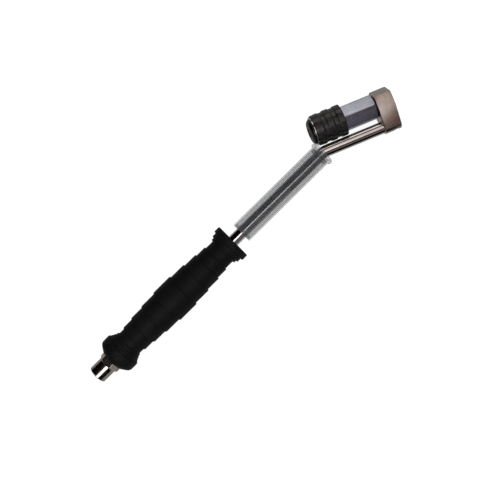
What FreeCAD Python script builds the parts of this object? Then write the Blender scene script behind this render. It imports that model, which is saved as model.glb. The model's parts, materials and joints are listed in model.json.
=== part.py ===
import FreeCAD, Part
import math
import os

# Tyre inflation wand: a threaded inlet and rubber hand grip on a bent air tube, a clear guard sleeve that
# slides over the tube, and a block at the tube's end that carries a locking chuck pointing back at the hand.
#
# Frame, millimetres: origin at the inlet's end face, +X along the handle towards the head. The tube
# bends towards -Y, the chuck lies on the +Y side of the head tube, and +Z is normal to that plane.

# ---- air tube
STEM_R = 5.0
STEM_BORE_R = 3.0
BEND_DEG = 22.2
BEND_R = 15.0

# ---- inlet fitting
PORT_R = 5.72
PORT_DEPTH = 12.0
FITTING_R = 8.0
FITTING_EDGE_R = 3.0
FITTING_ROUND_LENGTH = 11.8
FITTING_HEX_AF = 17.0
FITTING_HEX_LENGTH = 6.2
FITTING_HEX_PHASE = 50.0
FITTING_HEX_BEVEL = 0.2
FITTING_WEB = 12.0
FITTING_SOCKET_DEPTH = 8.0

# ---- hand grip
LINER_R = 7.5
GRIP_MAX_R = 15.85
GRIP_RING_DROP = 1.05
GRIP_RING_WIDTHS = (19.1, 15.0, 12.8, 9.95)
GRIP_LOW_NECK = 6.3
GRIP_TOP_NECK = 8.2
BEAD_R = 16.5
BEAD_WIDTH = 12.1
BEAD_MOUTH_R = 11.0
BEAD_SLOPE = 4.0
BEAD_EDGE_R = 3.5
LOW_FLANGE_STEPS = ((2.1, 14.9), (2.1, 13.9), (2.5, 12.8))
TOP_FLANGE_STEPS = ((2.5, 13.2), (3.9, 14.75), (5.8, 16.55))
GRIP_EDGE_R = 0.6
LINER_SETBACK = 2.0

# ---- guard sleeve and its bushes
GUARD_GAP = 9.5
GUARD_LENGTH = 92.2
GUARD_R = 9.2
GUARD_WALL = 1.2
GUARD_EDGE = 0.4
BUSH_LENGTH = 2.0
BUSH_SETBACK = 0.8
RUNNING_CLEARANCE = 0.05
LIP_R = 10.8
LIP_THICKNESS = 2.7
LIP_EDGE_R = 0.5
LIP_TO_BUSH = 3.7
LIP_TO_BEND = 1.0

# ---- manifold block and where it holds the chuck
NOSE_PAST_BEND = 5.1
BLOCK_THICKNESS = 14.9
BLOCK_HEX_R = 12.1
BLOCK_END_WALL = 1.0
BLOCK_EDGE = 0.6
COLLAR_TO_TUBE = 0.5
STEM_SOCKET_DEPTH = 8.5
SPIGOT_DEPTH = 7.0
CHAMBER_DEPTH = 12.5
CROSS_DRILL_R = 2.4
CROSS_DRILL_DEPTH = 11.0
PLUG_RECESS = 0.6
PLUG_LENGTH = 2.3

# ---- chuck, measured from the front of its nose towards the block
MOUTH_R = 4.15
MOUTH_CHAMFER = 0.8
NOSE_FLAT = 0.85
NOSE_OVERHANG = 3.0
NOSE_DEPTH = 3.2
NOSE_EDGE = 0.5
NOSE_BULGE_SHARES = (0.30, 0.70)
NOSE_SPIGOT_R = 6.2
NOSE_SPIGOT_LENGTH = 3.2
BARREL_MOUTH_STEP = 0.25
BARREL_BORE_R = 6.0
BARREL_WALL = 1.9
BARREL_SHOULDER = 1.95
BARREL_CORNER_CUT = 0.17
BARREL_HEX_LENGTH = 29.8
BARREL_HEX_CHAMFER = 0.8
SPIGOT_WALL = 1.6
SEAL_THICKNESS = 1.0
SEAL_INSET = 0.55

# ---- locking collar
COLLAR_TRAVEL = 5.0
COLLAR_STOP_GAP = 0.05
COLLAR_END_GAP = 1.0
COLLAR_RIM_WIDTH = 1.1
COLLAR_RIM_BELOW_GROOVE = 0.35
COLLAR_SLEEVE_LENGTH = 17.85
COLLAR_LAND_END = 12.85
COLLAR_SEAT_STEP = 0.25
SPRING_SIDE_GAP = 0.6
SKIRT_CLEARANCE = 0.35
SKIRT_WALL = 1.0
RIB_HEIGHT = 0.75
RIB_WIDTHS = (6.35, 4.6)
GROOVE_WIDTH = 3.2
RIB_FLANK = 0.75
RIB_EDGE_R = 0.6
FRONT_RIB_DROP = 0.4
RIM_EDGE_R = 0.35
HEX_IN_SKIRT = 2.8
COLLAR_SPRING_WIRE_R = 0.5
COLLAR_SPRING_TO_BARREL = 0.7
COLLAR_SPRING_TURNS = 4

# ---- locking balls, which ride on the collar's cone
BALL_PROUD = 0.25
BALL_COUNT = 3
BALL_FIRST_DEG = 90.0
BALL_COVER_AT_STOP = 0.9
BALL_GRIP_R = 3.75
BALL_RAMP = 0.18
BALL_LIP_THICKNESS = 0.3
BALL_CLEARANCE = 0.05

# ---- valve washer and shut-off poppet
BALL_TO_WASHER = 6.5
WASHER_THICKNESS = 4.0
WASHER_HOLE_R = 2.2
SEAT_THICKNESS = 4.4
SEAT_HOLE_R = 2.0
SEAT_LIP_R = 2.7
SEAT_LIP_HEIGHT = 0.6
SEAT_GAP = 0.05
PIN_R = 1.2
PIN_PROUD = 0.4
POPPET_SEAL_R = 4.0
POPPET_SEAL_THICKNESS = 1.5
POPPET_HEAD_R = 4.6
POPPET_HEAD_THICKNESS = 2.0
POPPET_WING_COUNT = 3
POPPET_WING_WIDTH = 1.6
POPPET_WING_LENGTH = 5.0
POPPET_SPRING_R = 3.3
POPPET_SPRING_WIRE_R = 0.4
POPPET_SPRING_LENGTH = 13.0
POPPET_SPRING_TURNS = 7
POPPET_SPRING_ROOM = 0.3
SPRING_SEAT_THICKNESS = 3.0
SPRING_SEAT_HOLE_R = 2.4
SPRING_END_GAP = 0.02

# ---- how shapes are made: overlap of fused bars, most of a side that a fillet may take, corners of a hexagon
FUSE_OVERLAP = 1.0
FILLET_SHARE = 0.45
HEX_CORNERS = 6
HEX_STEP_DEG = 360.0 / HEX_CORNERS

# ---- places along the handle, worked out from the sizes above
GRIP_START = FITTING_ROUND_LENGTH + FITTING_HEX_LENGTH
STEM_START = PORT_DEPTH + FITTING_WEB
FITTING_END = STEM_START + FITTING_SOCKET_DEPTH
GRIP_RINGS_LENGTH = GRIP_RING_WIDTHS[0] + 2.0 * sum(GRIP_RING_WIDTHS[1:])
LOW_FLANGE_LENGTH = BEAD_WIDTH + sum(width for width, radius in LOW_FLANGE_STEPS)
TOP_FLANGE_LENGTH = sum(width for width, radius in TOP_FLANGE_STEPS)
GRIP_LENGTH = LOW_FLANGE_LENGTH + GRIP_LOW_NECK + GRIP_RINGS_LENGTH + GRIP_TOP_NECK + TOP_FLANGE_LENGTH
GRIP_END = GRIP_START + GRIP_LENGTH
GUARD_REAR = GRIP_END + GUARD_GAP
GUARD_FRONT = GUARD_REAR + GUARD_LENGTH
LIP_END = GUARD_FRONT + LIP_THICKNESS
BEND_X = LIP_END + LIP_TO_BEND
GUARD_BORE_R = GUARD_R - GUARD_WALL
BUSH_BORE_R = STEM_R + RUNNING_CLEARANCE

# ---- radii that follow from each other
BARREL_NOSE_R = BARREL_BORE_R + BARREL_WALL
BARREL_MOUTH_R = MOUTH_R + BARREL_MOUTH_STEP
BARREL_AF = 2.0 * (BARREL_NOSE_R + BARREL_SHOULDER)
BARREL_CORNER_R = BARREL_AF / math.sqrt(3.0) - BARREL_CORNER_CUT
SPIGOT_R = BARREL_BORE_R + SPIGOT_WALL
SEAL_R = BARREL_AF / 2.0 - SEAL_INSET
SKIRT_R = BARREL_CORNER_R + SKIRT_CLEARANCE
COLLAR_SLEEVE_R = SKIRT_R - COLLAR_SEAT_STEP
GROOVE_R = SKIRT_R + SKIRT_WALL
RIB_R = GROOVE_R + RIB_HEIGHT
COLLAR_RIM_R = GROOVE_R - COLLAR_RIM_BELOW_GROOVE
COLLAR_SPRING_R = BARREL_NOSE_R + COLLAR_SPRING_TO_BARREL + COLLAR_SPRING_WIRE_R
BALL_R = (BARREL_NOSE_R + BALL_PROUD - BALL_GRIP_R) / 2.0
SPRING_POCKET_R = COLLAR_SPRING_R + COLLAR_SPRING_WIRE_R + SPRING_SIDE_GAP
NOSE_R = BARREL_NOSE_R + NOSE_OVERHANG
NOSE_FACE_R = MOUTH_R + MOUTH_CHAMFER + NOSE_FLAT
BLOCK_END_R = STEM_R + BLOCK_END_WALL
CHUCK_OFFSET = STEM_R + COLLAR_TO_TUBE + RIB_R

# ---- places along the chuck
COLLAR_FRONT = NOSE_DEPTH + COLLAR_STOP_GAP
COLLAR_SLEEVE_END = COLLAR_FRONT + COLLAR_SLEEVE_LENGTH
HEX_X = COLLAR_SLEEVE_END + COLLAR_TRAVEL + COLLAR_END_GAP
COLLAR_REAR = HEX_X + HEX_IN_SKIRT
BALL_X = COLLAR_FRONT + COLLAR_TRAVEL + BALL_COVER_AT_STOP
BALL_CENTRE_R = BALL_GRIP_R + BALL_R
WASHER_X = BALL_X + BALL_TO_WASHER
SEAT_X = WASHER_X + WASHER_THICKNESS
SEAT_LIP_X = SEAT_X + SEAT_THICKNESS
POPPET_SEAL_X = SEAT_LIP_X + SEAT_LIP_HEIGHT + SEAT_GAP
POPPET_HEAD_X = POPPET_SEAL_X + POPPET_SEAL_THICKNESS
POPPET_SPRING_X = POPPET_HEAD_X + POPPET_HEAD_THICKNESS
SPRING_SEAT_X = POPPET_SPRING_X + POPPET_SPRING_LENGTH
HEX_END_X = HEX_X + BARREL_HEX_LENGTH
CHUCK_LENGTH = HEX_END_X + SEAL_THICKNESS
SPIGOT_END_X = CHUCK_LENGTH + SPIGOT_DEPTH
HEAD_REACH = CHUCK_LENGTH - NOSE_PAST_BEND

X_AXIS = FreeCAD.Vector(1, 0, 0)
Y_AXIS = FreeCAD.Vector(0, 1, 0)
Z_AXIS = FreeCAD.Vector(0, 0, 1)
ORIGIN = FreeCAD.Vector(0, 0, 0)
HEAD = FreeCAD.Placement(FreeCAD.Vector(BEND_X, 0, 0), FreeCAD.Rotation(Z_AXIS, -BEND_DEG))
CHUCK_SHIFT = FreeCAD.Vector(HEAD_REACH - CHUCK_LENGTH, CHUCK_OFFSET, 0)
CHUCK = HEAD.multiply(FreeCAD.Placement(CHUCK_SHIFT, FreeCAD.Rotation()))


def rounded_corner(before, corner, after, radius):
    """Start, middle and end of the arc that rounds one corner of an outline."""
    to_before = (before - corner).normalize()
    to_after = (after - corner).normalize()
    half_angle = to_before.getAngle(to_after) / 2.0
    reach = min(radius / math.tan(half_angle), FILLET_SHARE * before.distanceToPoint(corner),
                FILLET_SHARE * after.distanceToPoint(corner))
    fitted = reach * math.tan(half_angle)
    inward = (to_before + to_after).normalize()
    centre = corner + inward * (fitted / math.sin(half_angle))
    return corner + to_before * reach, centre - inward * fitted, corner + to_after * reach


def outline(points):
    """Closed face in the XY plane from (x, y) or (x, y, corner radius) points."""
    corners = [FreeCAD.Vector(point[0], point[1], 0) for point in points]
    radii = [point[2] if len(point) > 2 else 0.0 for point in points]
    edges = []
    ends = []
    for index, corner in enumerate(corners):
        if radii[index] > 0.0:
            after = corners[(index + 1) % len(corners)]
            start, middle, end = rounded_corner(corners[index - 1], corner, after, radii[index])
            edges.append(Part.Arc(start, middle, end).toShape())
            ends.append((start, end))
        else:
            ends.append((corner, corner))
    for index in range(len(corners)):
        start = ends[index - 1][1]
        end = ends[index][0]
        edges.append(Part.LineSegment(start, end).toShape())
    return Part.Face(Part.Wire(Part.__sortEdges__(edges)))


def turned(points):
    """Solid of revolution about the X axis from (x, radius[, corner radius]) points."""
    return outline(points).revolve(ORIGIN, X_AXIS, 360.0)


def rod(start, end, radius):
    """Round bar on the X axis."""
    return Part.makeCylinder(radius, end - start, FreeCAD.Vector(start, 0, 0), X_AXIS)


def tube(start, end, radius, bore_radius):
    """Round tube on the X axis."""
    return rod(start, end, radius).cut(rod(start, end, bore_radius))


def hex_bar(start, end, across_flats, phase_deg):
    """Hexagonal bar on the X axis; phase is the angle of one corner from +Y towards +Z."""
    corner_r = across_flats / math.sqrt(3.0)
    corners = []
    for step in range(HEX_CORNERS + 1):
        angle = math.radians(phase_deg + HEX_STEP_DEG * step)
        corners.append(FreeCAD.Vector(start, corner_r * math.cos(angle), corner_r * math.sin(angle)))
    return Part.Face(Part.makePolygon(corners)).extrude(FreeCAD.Vector(end - start, 0, 0))


def coil(start, end, mean_r, wire_r, turns):
    """Round-wire compression spring on the X axis; each half turn is one tilted arc of wire."""
    first = start + wire_r + SPRING_END_GAP
    rise = (end - start - 2.0 * (wire_r + SPRING_END_GAP)) / (2 * turns)
    halves = []
    for step in range(2 * turns):
        side = 1.0 if step % 2 == 0 else -1.0
        near = FreeCAD.Vector(first + rise * step, side * mean_r, 0)
        far = FreeCAD.Vector(first + rise * (step + 1), -side * mean_r, 0)
        disc = Part.Face(Part.Wire(Part.Circle(near, Z_AXIS, wire_r).toShape()))
        axis = (near - far).cross(Z_AXIS) * side
        halves.append(disc.revolve((near + far) / 2.0, axis, 180.0))
    return halves[0].multiFuse(halves[1:])


def placed(shape, placement):
    """The same shape carried from its own axis to its place on the wand."""
    moved = shape.copy()
    moved.Placement = placement.multiply(moved.Placement)
    return moved


def tube_path_solid(radius, start_x, head_end):
    """Solid that follows the tube's line: handle axis, bend and head axis."""
    tangent = BEND_R * math.tan(math.radians(BEND_DEG / 2.0))
    straight = rod(start_x, BEND_X - tangent, radius)
    disc = Part.Face(Part.Wire(Part.Circle(FreeCAD.Vector(BEND_X - tangent, 0, 0), X_AXIS, radius).toShape()))
    pivot = FreeCAD.Vector(BEND_X - tangent, -BEND_R, 0)
    elbow = disc.revolve(pivot, -Z_AXIS, BEND_DEG)
    head = placed(rod(tangent, head_end, radius), HEAD)
    return straight.fuse(elbow).fuse(head).removeSplitter()


def inlet_fitting():
    """Round collar and hexagon with the air port in front and the stem's socket behind."""
    body = turned([
        (0, 0),
        (0, FITTING_R, FITTING_EDGE_R),
        (FITTING_ROUND_LENGTH + FUSE_OVERLAP, FITTING_R),
        (FITTING_ROUND_LENGTH + FUSE_OVERLAP, 0),
    ])
    hexagon = hex_bar(FITTING_ROUND_LENGTH, GRIP_START, FITTING_HEX_AF, FITTING_HEX_PHASE)
    corner_r = FITTING_HEX_AF / math.sqrt(3.0)
    chamfer = corner_r - FITTING_HEX_AF / 2.0
    bevel = turned([
        (FITTING_ROUND_LENGTH, 0),
        (FITTING_ROUND_LENGTH, FITTING_HEX_AF / 2.0 - FITTING_HEX_BEVEL),
        (FITTING_ROUND_LENGTH + chamfer, corner_r),
        (GRIP_START, corner_r),
        (GRIP_START, 0),
    ])
    spigot = rod(GRIP_START, FITTING_END, LINER_R)
    solid = body.fuse(hexagon.common(bevel)).fuse(spigot)
    port = rod(0, PORT_DEPTH, PORT_R)
    passage = rod(PORT_DEPTH, STEM_START, STEM_BORE_R)
    socket = rod(STEM_START, FITTING_END, STEM_R)
    return solid.cut(port).cut(passage).cut(socket).removeSplitter()


def stem_tube():
    """Air tube from the inlet fitting through the bend into the block."""
    head_end = HEAD_REACH + STEM_SOCKET_DEPTH
    outer = tube_path_solid(STEM_R, STEM_START, head_end)
    inner = tube_path_solid(STEM_BORE_R, STEM_START, head_end)
    return outer.cut(inner)


def grip_ring_profile(start):
    """Outline points of the stepped rings, thin to thick to thin, and the place where they end."""
    middle = GRIP_RING_WIDTHS[0]
    sides = GRIP_RING_WIDTHS[1:]
    widths = list(reversed(sides)) + [middle] + list(sides)
    points = []
    x = start
    for index, width in enumerate(widths):
        radius = GRIP_MAX_R - GRIP_RING_DROP * abs(index - len(sides))
        points += ring_points(x, width, radius, index < len(sides) + 1, index > len(sides) - 1)
        x += width
    return points, x


def ring_points(x, width, radius, rises_before, falls_after):
    """Two corners of one ring; only its outward corners are rounded."""
    return [
        (x, radius, GRIP_EDGE_R if rises_before else 0.0),
        (x + width, radius, GRIP_EDGE_R if falls_after else 0.0),
    ]


def grip_sleeve():
    """Rubber grip: bead and steps below, stepped rings, and a stepped flange above."""
    neck_r = GRIP_MAX_R - GRIP_RING_DROP * len(GRIP_RING_WIDTHS)
    points = [
        (GRIP_START, LINER_R),
        (GRIP_START, BEAD_MOUTH_R, GRIP_EDGE_R),
        (GRIP_START + BEAD_SLOPE, BEAD_R, BEAD_EDGE_R),
        (GRIP_START + BEAD_WIDTH, BEAD_R, GRIP_EDGE_R),
    ]
    x = GRIP_START + BEAD_WIDTH
    for width, radius in LOW_FLANGE_STEPS:
        points += ring_points(x, width, radius, False, True)
        x += width
    points += [(x, neck_r), (x + GRIP_LOW_NECK, neck_r)]
    rings, x = grip_ring_profile(x + GRIP_LOW_NECK)
    points += rings
    points += [(x, neck_r), (x + GRIP_TOP_NECK, neck_r)]
    x += GRIP_TOP_NECK
    for width, radius in TOP_FLANGE_STEPS:
        last = (width, radius) == TOP_FLANGE_STEPS[-1]
        points += ring_points(x, width, radius, True, last)
        x += width
    points.append((GRIP_END, LINER_R))
    return turned(points)


def grip_liner():
    """Plain tube that fills the room between the stem and the rubber."""
    return tube(FITTING_END, GRIP_END - LINER_SETBACK, LINER_R, STEM_R)


def guard_sleeve():
    """Clear moulded sleeve with an outward lip at its front; it slides along the stem on two bushes."""
    return turned([
        (GUARD_REAR, GUARD_BORE_R),
        (GUARD_REAR, GUARD_R, GUARD_EDGE),
        (GUARD_FRONT, GUARD_R),
        (GUARD_FRONT, LIP_R, LIP_EDGE_R),
        (LIP_END, LIP_R, LIP_EDGE_R),
        (LIP_END, GUARD_BORE_R),
    ])


def guard_bush(start):
    """Thin ring pressed into the sleeve, which runs on the stem."""
    return tube(start, start + BUSH_LENGTH, GUARD_BORE_R, BUSH_BORE_R)


def block_face():
    """The block's section across the head: a half hexagon that tapers to a round end at the tube."""
    half_width = BLOCK_HEX_R * math.sin(math.radians(HEX_STEP_DEG))
    top_y = CHUCK_OFFSET + BLOCK_HEX_R / 2.0
    waist_y = CHUCK_OFFSET - BLOCK_HEX_R / 2.0
    waist_angle = math.atan2(half_width, waist_y)
    tangent_angle = waist_angle + math.acos(BLOCK_END_R / math.hypot(half_width, waist_y))
    tangent_y = BLOCK_END_R * math.cos(tangent_angle)
    tangent_z = BLOCK_END_R * math.sin(tangent_angle)
    x = HEAD_REACH
    corners = [
        FreeCAD.Vector(x, tangent_y, -tangent_z),
        FreeCAD.Vector(x, waist_y, -half_width),
        FreeCAD.Vector(x, top_y, -half_width),
        FreeCAD.Vector(x, CHUCK_OFFSET + BLOCK_HEX_R, 0),
        FreeCAD.Vector(x, top_y, half_width),
        FreeCAD.Vector(x, waist_y, half_width),
        FreeCAD.Vector(x, tangent_y, tangent_z),
    ]
    sides = Part.makePolygon(corners).Edges
    end = Part.Arc(corners[-1], FreeCAD.Vector(x, -BLOCK_END_R, 0), corners[0]).toShape()
    return Part.Face(Part.Wire(sides + [end]))


def manifold_block():
    """Block that takes the stem and the barrel's spigot and joins their air ways with a cross drilling."""
    blank = block_face().extrude(FreeCAD.Vector(BLOCK_THICKNESS, 0, 0))
    rims = [edge for edge in blank.Edges if edge.BoundBox.XLength < BLOCK_EDGE]
    blank = blank.makeChamfer(BLOCK_EDGE, rims)
    stem_socket = rod(HEAD_REACH, HEAD_REACH + STEM_SOCKET_DEPTH, STEM_R)
    stem_passage = rod(HEAD_REACH, HEAD_REACH + CHAMBER_DEPTH, STEM_BORE_R)
    spigot_socket = rod(HEAD_REACH, HEAD_REACH + SPIGOT_DEPTH, SPIGOT_R)
    chamber = rod(HEAD_REACH, HEAD_REACH + CHAMBER_DEPTH, BARREL_BORE_R)
    for bore in (spigot_socket, chamber):
        bore.translate(FreeCAD.Vector(0, CHUCK_OFFSET, 0))
    drill_start = FreeCAD.Vector(HEAD_REACH + CROSS_DRILL_DEPTH, -BLOCK_END_R, 0)
    cross_drill = Part.makeCylinder(CROSS_DRILL_R, BLOCK_END_R + CHUCK_OFFSET, drill_start, Y_AXIS)
    for cavity in (stem_socket, stem_passage, spigot_socket, chamber, cross_drill):
        blank = blank.cut(cavity)
    return placed(blank, HEAD)


def passage_plug():
    """Plug that closes the outer end of the cross drilling."""
    start = FreeCAD.Vector(HEAD_REACH + CROSS_DRILL_DEPTH, -BLOCK_END_R + PLUG_RECESS, 0)
    return placed(Part.makeCylinder(CROSS_DRILL_R, PLUG_LENGTH, start, Y_AXIS), HEAD)


def nose_ring():
    """Domed flange with a threaded spigot that screws into the barrel."""
    rim_x = NOSE_DEPTH - NOSE_EDGE
    spigot_x = NOSE_DEPTH + NOSE_SPIGOT_LENGTH
    along, outward = NOSE_BULGE_SHARES
    bulge = FreeCAD.Vector(along * rim_x, NOSE_FACE_R + outward * (NOSE_R - NOSE_FACE_R), 0)
    points = [
        FreeCAD.Vector(MOUTH_CHAMFER, MOUTH_R, 0),
        FreeCAD.Vector(0, MOUTH_R + MOUTH_CHAMFER, 0),
        FreeCAD.Vector(0, NOSE_FACE_R, 0),
    ]
    rim = FreeCAD.Vector(rim_x, NOSE_R, 0)
    rear = [
        rim,
        FreeCAD.Vector(NOSE_DEPTH, NOSE_R, 0),
        FreeCAD.Vector(NOSE_DEPTH, NOSE_SPIGOT_R, 0),
        FreeCAD.Vector(spigot_x, NOSE_SPIGOT_R, 0),
        FreeCAD.Vector(spigot_x, MOUTH_R, 0),
        points[0],
    ]
    edges = Part.makePolygon(points).Edges
    edges.append(Part.Arc(points[-1], bulge, rim).toShape())
    edges += Part.makePolygon(rear).Edges
    return placed(Part.Face(Part.Wire(edges)).revolve(ORIGIN, X_AXIS, 360.0), CHUCK)


def ball_angles():
    """Angle of each locking ball about the chuck's axis, in degrees."""
    return [BALL_FIRST_DEG + 360.0 * index / BALL_COUNT for index in range(BALL_COUNT)]


def radial(angle_deg, radius, x):
    """Point at a radius and angle, from +Y towards +Z, about the chuck's axis."""
    angle = math.radians(angle_deg)
    return FreeCAD.Vector(x, radius * math.cos(angle), radius * math.sin(angle))


def ball_pocket(angle_deg):
    """Radial hole for one ball, with a narrow lip at the bore that keeps the ball from falling in."""
    outward = radial(angle_deg, 1.0, 0)
    pocket_floor = BARREL_MOUTH_R + BALL_LIP_THICKNESS
    lip_r = math.sqrt(BALL_R ** 2 - (BALL_CENTRE_R - pocket_floor) ** 2) + BALL_CLEARANCE
    pocket = Part.makeCylinder(BALL_R + BALL_CLEARANCE, BARREL_NOSE_R + FUSE_OVERLAP - pocket_floor,
                               radial(angle_deg, pocket_floor, BALL_X), outward)
    window = Part.makeCylinder(lip_r, pocket_floor, radial(angle_deg, 0, BALL_X), outward)
    return pocket.fuse(window)


def chuck_barrel():
    """Chuck body: round front for the collar, hexagon to hold it by, and a spigot into the block."""
    front = rod(NOSE_DEPTH, HEX_X + FUSE_OVERLAP, BARREL_NOSE_R)
    hexagon = hex_bar(HEX_X, HEX_END_X, BARREL_AF, BALL_FIRST_DEG)
    corner_cut = turned([
        (HEX_X, 0),
        (HEX_X, BARREL_CORNER_R - BARREL_HEX_CHAMFER),
        (HEX_X + BARREL_HEX_CHAMFER, BARREL_CORNER_R),
        (HEX_END_X - BARREL_HEX_CHAMFER, BARREL_CORNER_R),
        (HEX_END_X, BARREL_CORNER_R - BARREL_HEX_CHAMFER),
        (HEX_END_X, 0),
    ])
    spigot = rod(HEX_END_X - FUSE_OVERLAP, SPIGOT_END_X, SPIGOT_R)
    solid = front.fuse(hexagon.common(corner_cut)).fuse(spigot)
    solid = solid.cut(rod(NOSE_DEPTH, NOSE_DEPTH + NOSE_SPIGOT_LENGTH, NOSE_SPIGOT_R))
    solid = solid.cut(rod(NOSE_DEPTH, WASHER_X, BARREL_MOUTH_R))
    solid = solid.cut(rod(WASHER_X, SPIGOT_END_X, BARREL_BORE_R))
    for angle in ball_angles():
        solid = solid.cut(ball_pocket(angle))
    return placed(solid.removeSplitter(), CHUCK)


def barrel_seal():
    """Washer that seals the barrel against the block."""
    return placed(tube(HEX_END_X, CHUCK_LENGTH, SEAL_R, SPIGOT_R), CHUCK)


def collar_sleeve():
    """Steel locking sleeve; its front bore is the cone that holds the balls in."""
    land_r = BARREL_NOSE_R + RUNNING_CLEARANCE
    slant = math.sqrt(1.0 + BALL_RAMP ** 2)
    cone_r_at_ball = BALL_CENTRE_R + (BALL_R + BALL_CLEARANCE) * slant
    cone_front_r = cone_r_at_ball + BALL_RAMP * (BALL_X - COLLAR_FRONT)
    cone_end_x = BALL_X + (cone_r_at_ball - land_r) / BALL_RAMP
    land_end_x = COLLAR_FRONT + COLLAR_LAND_END
    return placed(turned([
        (COLLAR_FRONT, cone_front_r),
        (COLLAR_FRONT, COLLAR_RIM_R, RIM_EDGE_R),
        (COLLAR_FRONT + COLLAR_RIM_WIDTH, COLLAR_RIM_R, RIM_EDGE_R),
        (COLLAR_FRONT + COLLAR_RIM_WIDTH, COLLAR_SLEEVE_R),
        (COLLAR_SLEEVE_END, COLLAR_SLEEVE_R),
        (COLLAR_SLEEVE_END, SPRING_POCKET_R),
        (land_end_x, SPRING_POCKET_R),
        (land_end_x, land_r),
        (cone_end_x, land_r),
    ]), CHUCK)


def collar_grip():
    """Moulded cover with ribs; its rear skirt slides over the barrel's hexagon."""
    x = COLLAR_FRONT + COLLAR_RIM_WIDTH
    points = [(x, COLLAR_SLEEVE_R), (x, RIB_R - FRONT_RIB_DROP, RIB_EDGE_R)]
    for width in RIB_WIDTHS:
        x += width
        points += [(x, RIB_R, RIB_EDGE_R), (x + RIB_FLANK, GROOVE_R, RIB_EDGE_R)]
        x += RIB_FLANK + GROOVE_WIDTH
        points += [(x, GROOVE_R, RIB_EDGE_R), (x + RIB_FLANK, RIB_R, RIB_EDGE_R)]
        x += RIB_FLANK
    points.append((COLLAR_REAR, RIB_R, RIB_EDGE_R))
    points += [(COLLAR_REAR, SKIRT_R), (COLLAR_SLEEVE_END, SKIRT_R), (COLLAR_SLEEVE_END, COLLAR_SLEEVE_R)]
    return placed(turned(points), CHUCK)


def collar_spring():
    """Spring that pushes the collar forward over the balls."""
    start = COLLAR_FRONT + COLLAR_LAND_END
    return placed(coil(start, HEX_X, COLLAR_SPRING_R, COLLAR_SPRING_WIRE_R, COLLAR_SPRING_TURNS), CHUCK)


def locking_ball(angle_deg):
    """Ball that grips the tyre valve's thread."""
    return placed(Part.makeSphere(BALL_R, radial(angle_deg, BALL_CENTRE_R, BALL_X)), CHUCK)


def valve_washer():
    """Rubber washer that seals on the tyre valve's mouth."""
    return placed(tube(WASHER_X, SEAT_X, BARREL_BORE_R, WASHER_HOLE_R), CHUCK)


def washer_seat():
    """Disc behind the washer, with the lip that the poppet shuts on."""
    body = tube(SEAT_X, SEAT_LIP_X, BARREL_BORE_R, SEAT_HOLE_R)
    lip = tube(SEAT_LIP_X, SEAT_LIP_X + SEAT_LIP_HEIGHT, SEAT_LIP_R, SEAT_HOLE_R)
    return placed(body.fuse(lip).removeSplitter(), CHUCK)


def depressor_pin():
    """Pin, poppet head and the wings that guide the head in the barrel's bore."""
    pin = rod(WASHER_X - PIN_PROUD, POPPET_HEAD_X + POPPET_HEAD_THICKNESS, PIN_R)
    head = rod(POPPET_HEAD_X, POPPET_HEAD_X + POPPET_HEAD_THICKNESS, POPPET_HEAD_R)
    guide_r = BARREL_BORE_R - RUNNING_CLEARANCE
    spring_room_r = POPPET_SPRING_R + POPPET_SPRING_WIRE_R + POPPET_SPRING_ROOM
    guide = tube(POPPET_HEAD_X, POPPET_HEAD_X + POPPET_WING_LENGTH, guide_r, spring_room_r)
    solid = pin.fuse(head)
    for step in range(POPPET_WING_COUNT):
        wing = Part.makeBox(POPPET_WING_LENGTH, guide_r + FUSE_OVERLAP, POPPET_WING_WIDTH,
                            FreeCAD.Vector(POPPET_HEAD_X, 0, -POPPET_WING_WIDTH / 2.0))
        wing.rotate(ORIGIN, X_AXIS, BALL_FIRST_DEG + 360.0 * step / POPPET_WING_COUNT)
        solid = solid.fuse(wing.common(guide))
    return placed(solid.removeSplitter(), CHUCK)


def poppet_seal():
    """Rubber ring under the poppet head."""
    return placed(tube(POPPET_SEAL_X, POPPET_HEAD_X, POPPET_SEAL_R, PIN_R), CHUCK)


def poppet_spring():
    """Spring that shuts the poppet."""
    spring = coil(POPPET_SPRING_X, SPRING_SEAT_X, POPPET_SPRING_R, POPPET_SPRING_WIRE_R, POPPET_SPRING_TURNS)
    return placed(spring, CHUCK)


def spring_seat():
    """Ring in the barrel's bore that the poppet's spring pushes against."""
    end = SPRING_SEAT_X + SPRING_SEAT_THICKNESS
    return placed(tube(SPRING_SEAT_X, end, BARREL_BORE_R, SPRING_SEAT_HOLE_R), CHUCK)


def all_pieces():
    """Every piece by its name, in its place."""
    pieces = {
        "inlet_fitting": inlet_fitting(),
        "stem_tube": stem_tube(),
        "grip_liner": grip_liner(),
        "grip_sleeve": grip_sleeve(),
        "guard_sleeve": guard_sleeve(),
        "guard_front_bush": guard_bush(LIP_END - LIP_TO_BUSH - BUSH_LENGTH),
        "guard_rear_bush": guard_bush(GUARD_REAR + BUSH_SETBACK),
        "manifold_block": manifold_block(),
        "passage_plug": passage_plug(),
        "chuck_barrel": chuck_barrel(),
        "barrel_seal": barrel_seal(),
        "nose_ring": nose_ring(),
        "collar_sleeve": collar_sleeve(),
        "collar_grip": collar_grip(),
        "collar_spring": collar_spring(),
        "valve_washer": valve_washer(),
        "washer_seat": washer_seat(),
        "depressor_pin": depressor_pin(),
        "poppet_seal": poppet_seal(),
        "poppet_spring": poppet_spring(),
        "spring_seat": spring_seat(),
    }
    for number, angle in enumerate(ball_angles(), start=1):
        pieces[f"locking_ball_{number}"] = locking_ball(angle)
    return pieces


os.makedirs("parts", exist_ok=True)
for name, shape in all_pieces().items():
    shape.exportStep(f"parts/{name}.step")
    print(f"{name}: valid {shape.isValid()}, solids {len(shape.Solids)}, volume {shape.Volume:.1f} mm3")
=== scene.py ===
import json
import logging
import math
from dataclasses import dataclass, field
from enum import Enum
from typing import Callable, Sequence

import bmesh
import bpy
from mathutils import Matrix, Vector


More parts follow.
